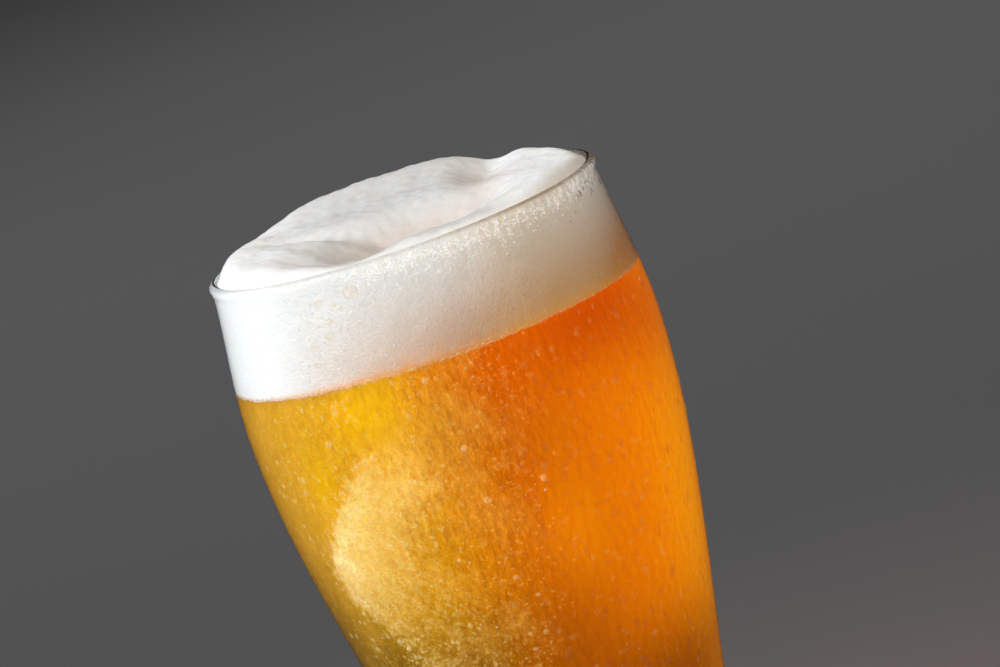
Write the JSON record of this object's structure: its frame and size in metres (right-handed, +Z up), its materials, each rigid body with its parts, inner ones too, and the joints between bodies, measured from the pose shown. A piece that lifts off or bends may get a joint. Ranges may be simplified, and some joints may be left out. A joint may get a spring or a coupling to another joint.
{
  "type": "pint of beer",
  "caption": "Tulip-shaped pint glass with a heavy base, filled with golden lager under a thick white head of foam that domes above the rim.",
  "frame": {"origin": "centre of the glass's base, on the surface it stands on", "axes": "+Z up along the glass's axis; the glass and beer are round about it; -Y is the front, where the foam's crater lies"},
  "size_m": [0.0872, 0.0872, 0.1616],
  "materials": {
    "glass": "clear, polished, misted with fine condensation",
    "beer": "clear golden liquid with rising bubbles",
    "foam": "soft matte white with fine bubbles"
  },
  "bodies": {
    "root": {"glass": "glass", "beer": "beer", "foam": "foam"}
  },
  "joints": []
}
